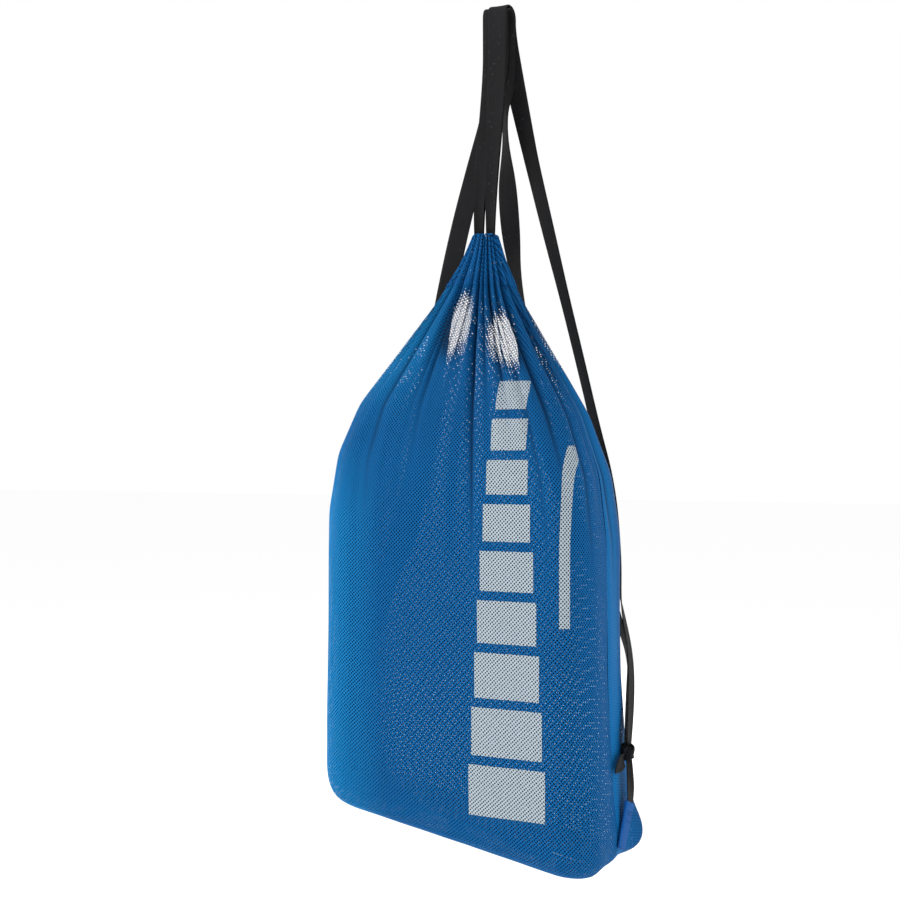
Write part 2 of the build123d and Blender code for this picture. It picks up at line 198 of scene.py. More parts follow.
def pleat_depth(side, across, down):
    """How far the cloth is tucked in, in millimetres, and how near it is to a valley, in 0..1."""
    at = across * PANEL_WIDTH
    tucked = np.zeros_like(at)
    crease = np.zeros_like(at)
    most = np.interp(down, *zip(*PLEAT_DEPTHS))
    for place, width, fade, sway, depth in PLEAT_SETS[side]:
        line = place + sway * np.sin(down / 85.0 + place)
        near = np.clip(1 - np.abs(at - line) / width, 0, 1)
        strength = fall(down, fade, 170.0)
        strength = strength * strength * (3 - 2 * strength) * depth
        tucked = np.maximum(tucked, near ** 1.7 * most * strength)
        crease = np.maximum(crease, (0.75 * near ** 5 + 0.25 * near) * strength)
    return tucked, crease


# Soft folds of the filled body: place across, place down, length across and down, depth.
BODY_FOLDS = {
    -1: [
        (0.17, 250.0, 0.030, 95.0, 3.6), (0.26, 215.0, 0.022, 80.0, 2.4),
        (0.33, 330.0, 0.060, 70.0, -1.6), (0.10, 420.0, 0.050, 140.0, 2.2),
        (0.62, 430.0, 0.140, 170.0, 2.0), (0.86, 330.0, 0.030, 120.0, 2.6),
        (0.93, 470.0, 0.025, 110.0, -1.8), (0.45, 560.0, 0.200, 40.0, 1.8),
    ],
    1: [
        (0.30, 330.0, 0.120, 130.0, 2.6), (0.66, 420.0, 0.160, 150.0, 2.2),
        (0.12, 300.0, 0.030, 120.0, 2.4), (0.88, 380.0, 0.030, 150.0, 2.4),
        (0.50, 560.0, 0.200, 40.0, 1.8),
    ],
}
RIPPLE = 0.5  # how deep the loose cloth waves
SEAM_PINCH, PINCH_REACH = 1.4, 3.5  # how deep and how wide a side seam draws the cloth in
CORNER_DOWN = down_at(-795.0)  # the contents push the back's right-hand bottom corner out
CORNER_LONG = 32.0  # how far up and down from there the cloth bulges
CORNER_BULGE, CORNER_PLACE, CORNER_WIDE = 15.0, 0.85, 0.055
SEAM_BULGE, SEAM_BULGE_PLACE, SEAM_BULGE_WIDE = 3.0, 0.92, 0.08  # of both panels, by the seam
UNDER_FROM, UNDER_LENGTH = down_at(-800.0), 22.0  # where the cloth turns under the bag
SAG, SAG_FROM, SAG_LENGTH = 1.6, down_at(-811.0), 66.0  # of the bottom, under its own weight
LAP, LAP_REACH, LAP_STEP = 8.0, 3.0, 0.8  # the panels' ends overlap along the bottom fold


def right_corner_bulge(side, across, down):
    """How far the contents push the cloth to the right at the right-hand bottom corner."""
    at_seam = SEAM_BULGE * rise(across, SEAM_BULGE_PLACE, SEAM_BULGE_WIDE) ** 2
    beside_seam = CORNER_BULGE * np.exp(-(((across - CORNER_PLACE) / CORNER_WIDE) ** 2))
    level = np.exp(-(((down - CORNER_DOWN) / CORNER_LONG) ** 2))
    return (at_seam + beside_seam * (side > 0)) * level


def cloth_point(side, across, down, lift=0.0):
    """Points of the bag's cloth in millimetres, lifted off it by the given height.

    side is -1 for the front and 1 for the back; across runs from the left seam to the right.
    """
    across, down = np.broadcast_arrays(np.asarray(across, float), np.asarray(down, float))
    height, centre_x, half_width, half_depth, corner, slope = station(down)
    x, y, normal_x, normal_y, total = outline(across, half_width, half_depth, corner)
    tucked, _ = pleat_depth(side, across, down)
    for *spot, depth in BODY_FOLDS[side]:
        tucked = tucked + depth * np.exp(-off_spot(across, down, *spot))
    ripple = np.sin(across * 31 + down / 47.0) * np.sin(across * 17 - down / 61.0 + side)
    tucked = tucked + RIPPLE * (1 + ripple) * rise(down, 60.0, 120.0)
    edge = np.minimum(across, 1 - across) * total
    pinch = SEAM_PINCH * np.exp(-((edge / PINCH_REACH) ** 2)) * rise(down, 30.0, 60.0)
    under = rise(down, UNDER_FROM, UNDER_LENGTH)
    shift_out = (lift - tucked - pinch) * (1 - under)
    sag = SAG * np.sin(rise(down, SAG_FROM, SAG_LENGTH) * math.pi)
    lapped = rise(down, CLOTH_END - LAP, LAP)
    px = centre_x + x + normal_x * shift_out + right_corner_bulge(side, across, down)
    py = MID_Y + (-side) * (y + normal_y * shift_out) - side * LAP_REACH * lapped
    pz = height - slope * x - (lift * under) + 0.25 * tucked * under - sag
    pz = pz - LAP_STEP * lapped * (side > 0)
    return np.stack([px, py, pz], axis=-1)


# ---- mesh helpers
def new_object(name, points, faces, material, body="bag"):
    """A smooth mesh object from points in millimetres, riding on a body unless it is None."""
    mesh = bpy.data.meshes.new(name)
    mesh.from_pydata([tuple(p) for p in np.asarray(points) * MM], [], faces)
    mesh.update()
    piece = bpy.data.objects.new(name, mesh)
    bpy.context.scene.collection.objects.link(piece)
    mesh.materials.append(material)
    mesh.polygons.foreach_set("use_smooth", [True] * len(mesh.polygons))
    if body:
        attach(piece, body)
    return piece


def grid_faces(rows, columns, flip=False, wrap=False, first=0):
    """Quads of a rows by columns grid of points, whose first point has the given index."""
    faces = []
    span = columns if wrap else columns - 1
    for row in range(rows - 1):
        for column in range(span):
            a = first + row * columns + column
            b = first + row * columns + (column + 1) % columns
            c, d = b + columns, a + columns
            faces.append((a, d, c, b) if flip else (a, b, c, d))
    return faces


def end_caps(rows, columns, flip=False):
    """The two faces that close the ends of a wrapped grid."""
    first = tuple(range(columns))
    last = tuple(range((rows - 1) * columns, rows * columns))
    return [first, last[::-1]] if flip else [first[::-1], last]


def add_uv(piece, name, values):
    """A UV layer from one (u, v) pair for each vertex."""
    layer = piece.data.uv_layers.new(name=name)
    corners = np.empty(len(piece.data.loops), dtype=np.int64)
    piece.data.loops.foreach_get("vertex_index", corners)
    layer.data.foreach_set("uv", np.asarray(values, np.float32)[corners].ravel())


def add_value(piece, name, values):
    """A number for each vertex, which a material can read."""
    attribute = piece.data.attributes.new(name, "FLOAT", "POINT")
    attribute.data.foreach_set("value", np.asarray(values, np.float32))


# ---- materials
class Painter:
    """Builds one node material around its Principled shader."""

    def __init__(self, name):
        self.material = bpy.data.materials.new(name)
        self.material.use_nodes = True
        tree = self.material.node_tree
        self.nodes, self.links = tree.nodes, tree.links

    def fill(self, node, values):
        """Give a node's inputs, by name or number, a number, a colour or a node's output."""
        for socket, value in values.items():
            if isinstance(value, (int, float)):
                node.inputs[socket].default_value = value
            elif isinstance(value, tuple):
                node.inputs[socket].default_value = (*value, 1.0)
            else:
                self.links.new(value, node.inputs[socket])

    def finish(self, values):
        """The material, with its shader's inputs filled by name."""
        self.fill(self.nodes["Principled BSDF"], values)
        return self.material

    def math(self, operation, *inputs, clamp=False):
        """A math node fed with outputs or numbers."""
        node = self.nodes.new("ShaderNodeMath")
        node.operation = operation
        node.use_clamp = clamp
        self.fill(node, dict(enumerate(inputs)))
        return node.outputs[0]

    def mix(self, factor, first, second):
        """A mix of two colours."""
        node = self.nodes.new("ShaderNodeMix")
        node.data_type = "RGBA"
        self.fill(node, {0: factor, 6: first, 7: second})
        return node.outputs[2]

    def mix_value(self, factor, first, second):
        """A mix of two numbers."""
        node = self.nodes.new("ShaderNodeMix")
        node.data_type = "FLOAT"
        self.fill(node, {0: factor, 2: first, 3: second})
        return node.outputs[0]

    def ramp(self, value, low, high, to_low=0.0, to_high=1.0):
        """A smooth step of a value between two limits."""
        node = self.nodes.new("ShaderNodeMapRange")
        node.interpolation_type = "SMOOTHSTEP"
        self.fill(node, {0: value, 1: low, 2: high, 3: to_low, 4: to_high})
        return node.outputs[0]

    def noise(self, where, scale, detail):
        """A noise texture's value over the given coordinates."""
        node = self.nodes.new("ShaderNodeTexNoise")
        self.fill(node, {"Vector": where, "Scale": scale, "Detail": detail})
        return node.outputs["Fac"]

    def bump(self, height, strength, distance):
        """A bump node's normal."""
        node = self.nodes.new("ShaderNodeBump")
        self.fill(node, {"Height": height, "Strength": strength, "Distance": distance})
        return node.outputs[0]

    def place(self):
        """Object coordinates."""
        return self.nodes.new("ShaderNodeTexCoord").outputs["Object"]

    def uv(self, name):
        """The coordinates of the named UV map."""
        node = self.nodes.new("ShaderNodeUVMap")
        node.uv_map = name
        return node.outputs[0]

    def split(self, vector):
        """The first two coordinates of a place."""
        node = self.nodes.new("ShaderNodeSeparateXYZ")
        self.fill(node, {0: vector})
        return node.outputs[0], node.outputs[1]

    def vertex_value(self, name):
        """The value that add_value gave each vertex under this name."""
        node = self.nodes.new("ShaderNodeAttribute")
        node.attribute_name = name
        return node.outputs["Fac"]


def hole_field(paint, uv):
    """How far the nearest hole's centre is, in pitches: the holes lie in two shifted lattices."""
    across, down = paint.split(uv)
    u = paint.math("DIVIDE", across, MESH_PITCH)
    v = paint.math("DIVIDE", down, MESH_PITCH * PITCH_STRETCH)
    distances = []
    for shift in (0.0, 0.5):
        powers = []
        for value in (u, v):
            part = paint.math("FRACT", paint.math("ADD", value, shift))
            part = paint.math("ABSOLUTE", paint.math("SUBTRACT", part, 0.5))
            powers.append(paint.math("POWER", part, HOLE_SHAPE))
        total = paint.math("ADD", *powers)
        distances.append(paint.math("POWER", total, 1 / HOLE_SHAPE))
    return paint.math("MINIMUM", *distances)


PAINTED_PIT_SHADE = 0.6  # painted shade: how dark a hole is painted where more cloth lies behind it
PAINTED_CREASE_SHADE = 0.95  # painted shade: how dark the bottom of a pleat is painted


def mesh_material(name, colour, deep, hole, print_ink=False):
    """Open knitted polyester mesh: holes that let light through, round yarns with painted shade
    darkening them towards each hole, uneven dye.

    The mesh's own values say where it is closed, where painted backlight brightens it and where
    painted shade darkens it in a crease.
    """
    paint = Painter(name)
    uv = paint.uv("cloth")
    wobble = paint.math("MULTIPLY_ADD", paint.noise(uv, 0.35, 2.0), 0.10, -0.05)
    field = paint.math("ADD", hole_field(paint, uv), wobble)
    closed = paint.vertex_value("closed")
    size = paint.math("MULTIPLY_ADD", closed, -hole, hole)
    edge = paint.math("SUBTRACT", field, size)
    yarn = paint.ramp(edge, 0.0, 0.14)
    cloudy = paint.noise(paint.place(), 18.0, 4.0)
    tone = paint.mix(cloudy, deep, tuple(0.7 * c for c in colour))
    # painted shade: the yarns darken from their middles towards each hole's rim, to an unevenly
    # dyed deeper tone
    tone = paint.mix(yarn, tone, colour)
    if not print_ink:
        # painted backlight: the blue is mixed towards the lit blue where daylight would come
        # through
        tone = paint.mix(paint.vertex_value("painted_backlight"), tone, LIT_BLUE)
        # painted shade: the crease value darkens the blue in pleats, gathers and over the back's
        # inside
        shade = paint.math("MULTIPLY", paint.vertex_value("crease"), PAINTED_CREASE_SHADE, clamp=True)
        tone = paint.mix(shade, tone, tuple(0.22 * c for c in deep))
    # painted shade: where more cloth closes a hole, the hole is painted darker, towards the deep
    # blue
    pit = paint.ramp(paint.math("SUBTRACT", field, hole), -0.06, 0.0, PAINTED_PIT_SHADE, 0.0)
    pit = paint.math("MULTIPLY", pit, closed, clamp=True)
    height = paint.math("MULTIPLY_ADD", paint.noise(uv, 2.4, 2.0), 0.25, yarn)
    return paint.finish({
        "Base Color": paint.mix(pit, tone, deep),
        "Alpha": paint.ramp(edge, -0.03, 0.03),
        "Normal": paint.bump(height, 0.7, 0.0004),
        "Roughness": 0.75,
        "Specular IOR Level": 0.1,
    })


def tape_material(name):
    """Matt black twill tape with ribbed selvedges and a little lint."""
    paint = Painter(name)
    across, along = paint.split(paint.uv("tape"))
    fold = paint.math("ABSOLUTE", paint.math("SUBTRACT", across, TAPE_WIDTH / 2))
    slant = paint.math("ADD", along, fold)
    rib = paint.math("SINE", paint.math("MULTIPLY", slant, 4.6))
    pick = paint.math("SINE", paint.math("MULTIPLY", across, 7.5))
    weave = paint.math("MULTIPLY_ADD", pick, 0.45, rib)
    selvedge = paint.ramp(fold, 8.3, 9.0)
    cord = paint.math("SINE", paint.math("MULTIPLY", along, 6.5))
    height = paint.mix_value(selvedge, weave, cord)
    lint = paint.ramp(paint.noise(paint.place(), 260.0, 5.0), 0.62, 0.78)
    faded = paint.ramp(paint.noise(paint.place(), 22.0, 3.0), 0.4, 0.75, 0.0, 0.5)
    # painted highlight: the ribs' crests are painted lighter, towards the faded black
    painted_rib_highlight = paint.ramp(rib, -0.4, 0.8, 0.0, 0.35)
    tone = paint.mix(faded, paint.mix(lint, BLACK, LINT), FADED_AND_HIGHLIGHT_BLACK)
    return paint.finish({
        "Base Color": paint.mix(painted_rib_highlight, tone, FADED_AND_HIGHLIGHT_BLACK),
        "Normal": paint.bump(height, 0.55, 0.00025),
        "Roughness": 0.8,
        "Specular IOR Level": 0.25,
    })


def solid_cloth_material(name, colour, deep, scale):
    """Doubled, tightly knitted cloth with no open holes, such as a seam or a tab."""
    paint = Painter(name)
    where = paint.place()
    knit = paint.nodes.new("ShaderNodeTexVoronoi")
    paint.fill(knit, {"Vector": where, "Scale": scale})
    pit = paint.ramp(knit.outputs["Distance"], 0.1, 0.55)
    tone = paint.mix(paint.noise(where, 60.0, 4.0), deep, colour)
    height = paint.math("MULTIPLY_ADD", pit, -1.0, paint.noise(where, 1500.0, 2.0))
    return paint.finish({
        # painted shade: the knit's pits, which the bump sinks, are painted darker
        "Base Color": paint.mix(paint.math("MULTIPLY", pit, 0.45), tone, deep),
        "Normal": paint.bump(height, 0.6, 0.0004),
        "Roughness": 0.8,
        "Specular IOR Level": 0.2,
    })


BLACK = (0.004, 0.004, 0.005)
# the faded black serves for faded patches of the tape and for its painted rib highlight
FADED_AND_HIGHLIGHT_BLACK = (0.011, 0.011, 0.013)
LINT = (0.04, 0.04, 0.045)
BLUE = (0.002, 0.115, 0.340)
LIT_BLUE = (0.010, 0.300, 0.680)  # painted backlight: the blue painted where daylight would come through a single layer
DEEP_BLUE = (0.002, 0.045, 0.160)
CHANNEL_BLUE = (0.004, 0.110, 0.330)
SEAM_BLUE = (0.002, 0.070, 0.270)
TAB_BLUE = (0.002, 0.115, 0.400)
THREAD_BLUE, DEEP_THREAD_BLUE = (0.007, 0.11, 0.34), (0.004, 0.06, 0.20)
WHITE_INK = (0.43, 0.50, 0.55)
GREY_INK = (0.28, 0.36, 0.42)

DEEP_CHANNEL_BLUE = tuple(0.45 * c for c in CHANNEL_BLUE)
DEEP_SEAM_BLUE = tuple(0.6 * c for c in SEAM_BLUE)
MESH_HOLE, CHANNEL_HOLE, INK_HOLE = 0.225, 0.24, 0.215  # a hole's radius, in pitches

MESH = mesh_material("mesh_fabric", BLUE, DEEP_BLUE, MESH_HOLE)
CHANNEL = mesh_material("channel_mesh", CHANNEL_BLUE, DEEP_CHANNEL_BLUE, CHANNEL_HOLE)
INK = mesh_material("print_ink", WHITE_INK, GREY_INK, INK_HOLE, print_ink=True)
TAPE = tape_material("black_tape")
SEAM = solid_cloth_material("seam_cloth", SEAM_BLUE, DEEP_SEAM_BLUE, 620.0)
TAB = solid_cloth_material("tab_cloth", TAB_BLUE, SEAM_BLUE, 520.0)
THREAD = solid_cloth_material("sewing_thread", THREAD_BLUE, DEEP_THREAD_BLUE, 1800.0)


# ---- mesh panels
COLUMNS = 256
ROW_STEP = 3.6
CHANNEL_FOOT = down_at(CHANNEL_FOOT_Z)
PANEL_START = CHANNEL_FOOT - 8.0
NECK_CLOSED = {  # distance down the cloth, and how closed its holes are there, front and back
    -1: ([0.0, 55.0, 75.0, 140.0, 190.0, 330.0], [0.5, 0.4, 0.25, 0.15, 0.05, 0.0]),
    1: ([0.0, 55.0, 75.0, 130.0, 180.0, 330.0], [0.5, 0.4, 0.25, 0.25, 0.5, 0.68]),
}
SHEER_SPOTS = {  # stretched patches: place across and down, length across and down, strength
    -1: [
        (0.47, 94.0, 0.09, 36.0, 1.1), (0.74, 110.0, 0.09, 29.0, 1.2),
        (0.87, 50.0, 0.03, 8.0, 0.9), (0.15, 95.0, 0.11, 42.0, 0.5),
        (0.93, 110.0, 0.05, 45.0, 0.8),
    ],
    1: [
        (0.24, 88.0, 0.12, 38.0, 1.2), (0.56, 105.0, 0.10, 30.0, 1.2),
        (0.80, 48.0, 0.09, 9.0, 0.9), (0.03, 95.0, 0.06, 42.0, 0.9),
        (0.88, 110.0, 0.10, 42.0, 0.8),
    ],
}
SEAM_BAND, BAND_EDGE = 0.072, 0.008  # the share of the back that is doubled beside each seam
LEFT_CLOSED, RIGHT_CLOSED = 0.95, {-1: 0.22, 1: 0.42}  # by the seams, where cloth lies double
FOOT_CLOSED = 0.8
LIT_REACH = {-1: 0.34, 1: 0.26}  # how far across from the left the painted backlight reaches


def seam_band(side, across, down):
    """1 where the back panel is doubled beside a seam, and 0 elsewhere."""
    from_seam = np.minimum(across, 1 - across)
    return fall(from_seam, SEAM_BAND, BAND_EDGE) * rise(down, 90.0, 60.0) * (side > 0)


def panel_closed(side, across, down):
    """How closed a panel's holes are: 1 is shut, 0 is at rest and below 0 they are stretched."""
    from_seam = np.minimum(across, 1 - across)
    most_closed = np.where(across < 0.5, LEFT_CLOSED, RIGHT_CLOSED[side])
    side_width = np.where((across < 0.5) & (side > 0), 0.24, 0.13)
    at_side = most_closed * np.clip(1.5 - from_seam / side_width, 0, 1) * rise(down, 130.0, 60.0)
    at_foot = FOOT_CLOSED * rise(down, down_at(-804.0), 12.0)
    in_neck = np.interp(down, *NECK_CLOSED[side])
    doubled = seam_band(side, across, down)
    closed = np.maximum.reduce([in_neck, at_side, at_foot, doubled])
    for *spot, strength in SHEER_SPOTS[side]:
        closed = closed - strength * np.exp(-(off_spot(across, down, *spot) ** 2))
    _, crease = pleat_depth(side, across, down)
    return np.clip(closed + crease * 1.3, -0.6, 1)


def panel_painted_shade(side, across, down):
    """Painted shade: how dark a panel is painted in its pleats and gathers, and, on the back
    panel, as the shade of the bag's inside behind it.
    """
    _, crease = pleat_depth(side, across, down)
    # painted shade in the neck's gathers and, on the back panel only, over the bag's inside
    gathers = 0.30 * fall(down, 230.0, 150.0)
    shaded = rise(across, 0.16, 0.2) * fall(across, 0.95, 0.16)
    inside = 0.7 * shaded * rise(down, 120.0, 90.0)
    return np.clip(crease + gathers + inside * (side > 0), 0, 1)


def panel_painted_backlight(side, across, down):
    """Painted backlight: how much daylight coming through a panel is painted on, most on its left
    and at the front's left neck.
    """
    lit = 0.5 * fall(across, LIT_REACH[side], 0.14) * rise(down, 210.0, 90.0)
    flank = 0.6 * np.exp(-off_spot(across, down, 0.2, 115.0, 0.16, 60.0)) * (side < 0)
    return np.maximum.reduce([lit, flank, 0.15 * seam_band(side, across, down)])


def make_panel(side, name):
    """One panel of mesh, from inside the channel's hem down to the bottom fold."""
    rows = int((CLOTH_END - PANEL_START) / ROW_STEP) + 1
    down, across = np.meshgrid(
        np.linspace(PANEL_START, CLOTH_END, rows), np.linspace(0, 1, COLUMNS), indexing="ij"
    )
    lift = -0.6 * np.clip(1 - (down - PANEL_START) / 12.0, 0, 1)
    points = cloth_point(side, across, down, lift).reshape(-1, 3)
    faces = grid_faces(rows, COLUMNS, flip=side < 0)
    piece = new_object(f"{name}_mesh", points, faces, MESH)
    add_uv(piece, "cloth", cloth_uv(side, across, down))
    add_value(piece, "closed", panel_closed(side, across, down).ravel())
    # painted shade values for the material: creases, gathers and the back's inside
    add_value(piece, "crease", panel_painted_shade(side, across, down).ravel())
    # painted backlight values for the material
    add_value(piece, "painted_backlight", panel_painted_backlight(side, across, down).ravel())
    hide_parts(f"{name}_panel")
    return piece


front, back = make_panel(-1, "front"), make_panel(1, "back")


CHANNEL_WALL = ((0.0, 24.0, 60.0), (5.6, 6.2, 9.5))  # how thick the gathers are, by distance down
LEAST_SIDE = 0.05  # straight length that is left between two rounded corners


def inner_point(side, across, down):
    """The channel's inner layer: the outer shape drawn in by the thickness of the gathers."""
    down = np.full(len(across), down)
    height, centre_x, half_width, half_depth, corner, slope = station(down)
    wall = np.interp(down, *CHANNEL_WALL)
    half_width, half_depth = half_width - wall, half_depth - wall
    corner = np.minimum(np.maximum(corner - wall, 1.0), half_depth - LEAST_SIDE)
    x, y, normal_x, normal_y, _ = outline(across, half_width, half_depth, corner)
    wave = 0.5 * np.sin(across * PLEATS * 2 * math.pi)
    return np.stack([
        centre_x + x + normal_x * wave,
        MID_Y - side * (y + normal_y * wave),
        height - slope * x,
    ], axis=-1)


def make_channel(side, name):
    """Half of the gathered channel: the cloth runs up outside, over the top and down inside."""
    foot = CHANNEL_FOOT
    steps_out, steps_top, steps_in = 26, 6, 20
    columns = COLUMNS + 64
    across = np.linspace(0.004, 0.996, columns)
    ragged = 1.6 * np.sin(across * 93.0 + side) + 1.1 * np.sin(across * 211.0)
    rows = []
    for down in np.linspace(foot + 1.0, 1.5, steps_out):
        swell = 0.9 + 0.5 * math.sin(min(1.0, down / foot) * math.pi)
        rows.append(cloth_point(side, across, np.full(columns, down), swell))
    top = rows[-1]
    inner_top = inner_point(side, across, 1.5)
    for step in range(1, steps_top):
        turn = step / steps_top * math.pi
        share = (1 - math.cos(turn)) / 2
        row = top * (1 - share) + inner_top * share
        row[:, 2] += (2.4 + 0.5 * ragged) * math.sin(turn)
        rows.append(row)
    for down in np.linspace(1.5, foot - 4.0, steps_in):
        rows.append(inner_point(side, across, down))
    points = np.concatenate(rows)
    faces = grid_faces(len(rows), columns, flip=side > 0)
    piece = new_object(f"{name}_channel_hem", points, faces, CHANNEL)
    depth = np.concatenate([
        np.linspace(foot, 0.0, steps_out),
        np.linspace(-1.0, -5.0, steps_top - 1),
        np.linspace(-6.0, -foot, steps_in),
    ])
    down = np.clip(np.abs(depth), 0, foot)[:, None] * np.ones(columns)[None, :]
    add_uv(piece, "cloth", cloth_uv(-1, across[None, :] * np.ones((len(depth), 1)), down))
    _, crease = pleat_depth(side, np.broadcast_to(across, down.shape), down)
    # painted shade in the channel's gathers, a little weaker than on the panels
    add_value(piece, "crease", crease.ravel() * 0.8)
    add_value(piece, "closed", np.full(len(points), 0.15))
    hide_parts(f"{name}_channel")
    return piece


front_channel, back_channel = make_channel(-1, "front"), make_channel(1, "back")


# ---- printed bars
PRINT_X = 48.0
PRINT_BARS = 9
PRINT_FOOT_Z = -780.0
PRINT_GAP = 9.0
PRINT_FOOT_WIDTH, PRINT_TOP_WIDTH = 78.0, 30.0
PRINT_FOOT_HEIGHT, PRINT_TOP_HEIGHT = 48.0, 27.0
STRIPE_X, STRIPE_WIDTH = 104.0, 9.0
STRIPE_FOOT_Z, STRIPE_TOP_Z = -600.0, -432.0  # the shoulder curves away above its top


def print_patch(x, half_width, low_z, high_z):
    """A printed patch's points, its grid size and its cloth coordinates, square on the front."""
    rows = max(int((high_z - low_z) / 2.4), 3)
    columns = max(int(2 * half_width / 1.5), 4)
    places = np.linspace(0.0, 1.0, 800)
    across, down = np.empty((rows, columns)), np.empty((rows, columns))
    for row, height in enumerate(np.linspace(low_z, high_z, rows)):
        slope = float(station(down_at(height))[5])
        level = down_at(height + slope * (x - FOOT_X))
        _, centre_x, wide, deep, corner, _ = station(level)
        line = centre_x + outline(places, wide, deep, corner)[0]
        wanted = np.linspace(x - half_width, x + half_width, columns)
        across[row] = np.interp(np.minimum(wanted, line.max() - 2.0), line, places)
        down[row] = [down_at(height + slope * (place - FOOT_X)) for place in wanted]
    points = cloth_point(-1, across, down, 0.35).reshape(-1, 3)
    return points, (rows, columns), cloth_uv(-1, across, down)


def make_print():
    """The white graphic: a column of plain bars and one slim stripe."""
    patches = []
    foot = PRINT_FOOT_Z
    for count in range(PRINT_BARS):
        share = count / (PRINT_BARS - 1)
        width = PRINT_FOOT_WIDTH + (PRINT_TOP_WIDTH - PRINT_FOOT_WIDTH) * share
        height = PRINT_FOOT_HEIGHT + (PRINT_TOP_HEIGHT - PRINT_FOOT_HEIGHT) * share
        patches.append(print_patch(PRINT_X, width / 2, foot, foot + height))
        foot += height + PRINT_GAP
    patches.append(print_patch(STRIPE_X, STRIPE_WIDTH / 2, STRIPE_FOOT_Z, STRIPE_TOP_Z))
    points, faces, uvs = [], [], []
    for patch_points, (rows, columns), uv in patches:
        faces += grid_faces(rows, columns, first=sum(len(p) for p in points))
        points.append(patch_points)
        uvs.append(uv)
    piece = new_object("printed_graphic", np.concatenate(points), faces, INK)
    add_uv(piece, "cloth", np.concatenate(uvs))
    add_value(piece, "closed", np.zeros(sum(len(p) for p in points)))
    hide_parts("printed_bars")


make_print()


# ---- seams and stitching
SEAM_WIDTH = 13.0
SEAM_FOOT = down_at(-799.0)
STITCH_PITCH, STITCH_LENGTH = 2.9, 2.1


def side_point(end, offset, down, lift):
    """A point near a side seam: offset runs round from the front (-) to the back (+)."""
    _, _, half_width, half_depth, corner, _ = station(down)
    *_, total = outline(np.zeros_like(half_width), half_width, half_depth, corner)
    share = np.abs(offset) / total
    across = share if end < 0 else 1 - share
    front_points = cloth_point(-1, across, down, lift)
    back_points = cloth_point(1, across, down, lift)
    return np.where(offset[..., None] < 0, front_points, back_points)


def make_side_seam(end, name):
    """The doubled, overlocked edges of the panels inside one side of the bag."""
    rows, columns = 300, 9
    levels = np.linspace(PANEL_START + 6.0, SEAM_FOOT, rows)
    down, share = np.meshgrid(levels, np.linspace(-1, 1, columns), indexing="ij")
    scallop = 1 + 0.07 * np.sin(down / 1.9) * np.abs(share)
    offset = share * SEAM_WIDTH / 2 * scallop
    hump = 0.5 * np.cos(share * math.pi / 2) + 0.12 * np.sin(down / 1.9)
    outer = side_point(end, offset, down, -0.7 - 0.3 * (1 - hump))
    inner = side_point(end, offset, down, -2.0 - 0.5 * hump)
    ring = np.concatenate([outer, inner[:, ::-1]], axis=1)
    points = ring.reshape(-1, 3)
    faces = grid_faces(rows, 2 * columns, flip=end > 0, wrap=True)
    faces += end_caps(rows, 2 * columns, flip=end > 0)
    piece = new_object(f"{name}_seam_edge", points, faces, SEAM)
    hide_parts(f"{name}_side_seam")


make_side_seam(-1, "left")
make_side_seam(1, "right")


def tube(path, radius, sides):
    """Points and faces of a closed little tube with pointed ends."""
    path = np.asarray(path, float)
    points = []
    for index, point in enumerate(path):
        ahead = path[min(index + 1, len(path) - 1)] - path[max(index - 1, 0)]
        ahead /= np.linalg.norm(ahead)
        side = np.cross(ahead, [0.31, 0.52, 0.8])
        side /= np.linalg.norm(side)
        over = np.cross(ahead, side)
        taper = 0.35 if index in (0, len(path) - 1) else 1.0
        for turn in np.linspace(0, 2 * math.pi, sides, endpoint=False):
            points.append(point + radius * taper * (side * math.cos(turn) + over * math.sin(turn)))
    return points, grid_faces(len(path), sides, wrap=True) + end_caps(len(path), sides)


def join_tubes(tubes):
    """Several tubes as one list of points and one of faces."""
    points, faces = [], []
    for tube_points, tube_faces in tubes:
        faces += [tuple(index + len(points) for index in face) for face in tube_faces]
        points += tube_points
    return points, faces


def lengths_along(line):
    """How far along a line each of its points is."""
    return np.concatenate([[0], np.cumsum(np.linalg.norm(np.diff(line, axis=0), axis=1))])


def make_hem_stitching(side, name):
    """Two rows of short stitches along the channel's foot, riding over the pleats."""
    stitches = []
    for row in (3.0, 7.0):
        down = CHANNEL_FOOT - row
        fine = np.linspace(0.01, 0.99, 1500)
        line = cloth_point(side, fine, np.full(len(fine), down), 1.7)
        travelled = lengths_along(line)
        for start in np.arange(0.0, travelled[-1] - STITCH_LENGTH - 0.1, STITCH_PITCH):
            stops = np.linspace(start, start + STITCH_LENGTH, 5)
            path = [np.interp(stops, travelled, line[:, axis]) for axis in range(3)]
            stitches.append(tube(np.stack(path, axis=1), 0.32, 5))
    points, faces = join_tubes(stitches)
    piece = new_object(f"{name}_hem_stitches", points, faces, THREAD)
    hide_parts(f"{name}_hem_stitching")


make_hem_stitching(-1, "front")
make_hem_stitching(1, "back")


# ---- drawcord tapes
def spline_points(name, stops):
    """Points along a smooth NURBS line with the stops as its control points."""
    curve = bpy.data.curves.new(name, "CURVE")
    curve.dimensions = "3D"
    spline = curve.splines.new("NURBS")
    spline.points.add(len(stops) - 1)
    for point, stop in zip(spline.points, stops):
        point.co = (*stop, 1.0)
    spline.order_u = 3
    spline.use_endpoint_u = True
    spline.resolution_u = 10
    carrier = bpy.data.objects.new(name, curve)
    mesh = bpy.data.meshes.new_from_object(carrier)
    points = np.array([vertex.co for vertex in mesh.vertices])
    bpy.data.objects.remove(carrier)
    bpy.data.curves.remove(curve)
    bpy.data.meshes.remove(mesh)
    return points


def facing_vector(degrees):
    """The direction that a tape's flat side looks in, level, in degrees about Z."""
    return (math.cos(math.radians(degrees)), math.sin(math.radians(degrees)), 0.0)


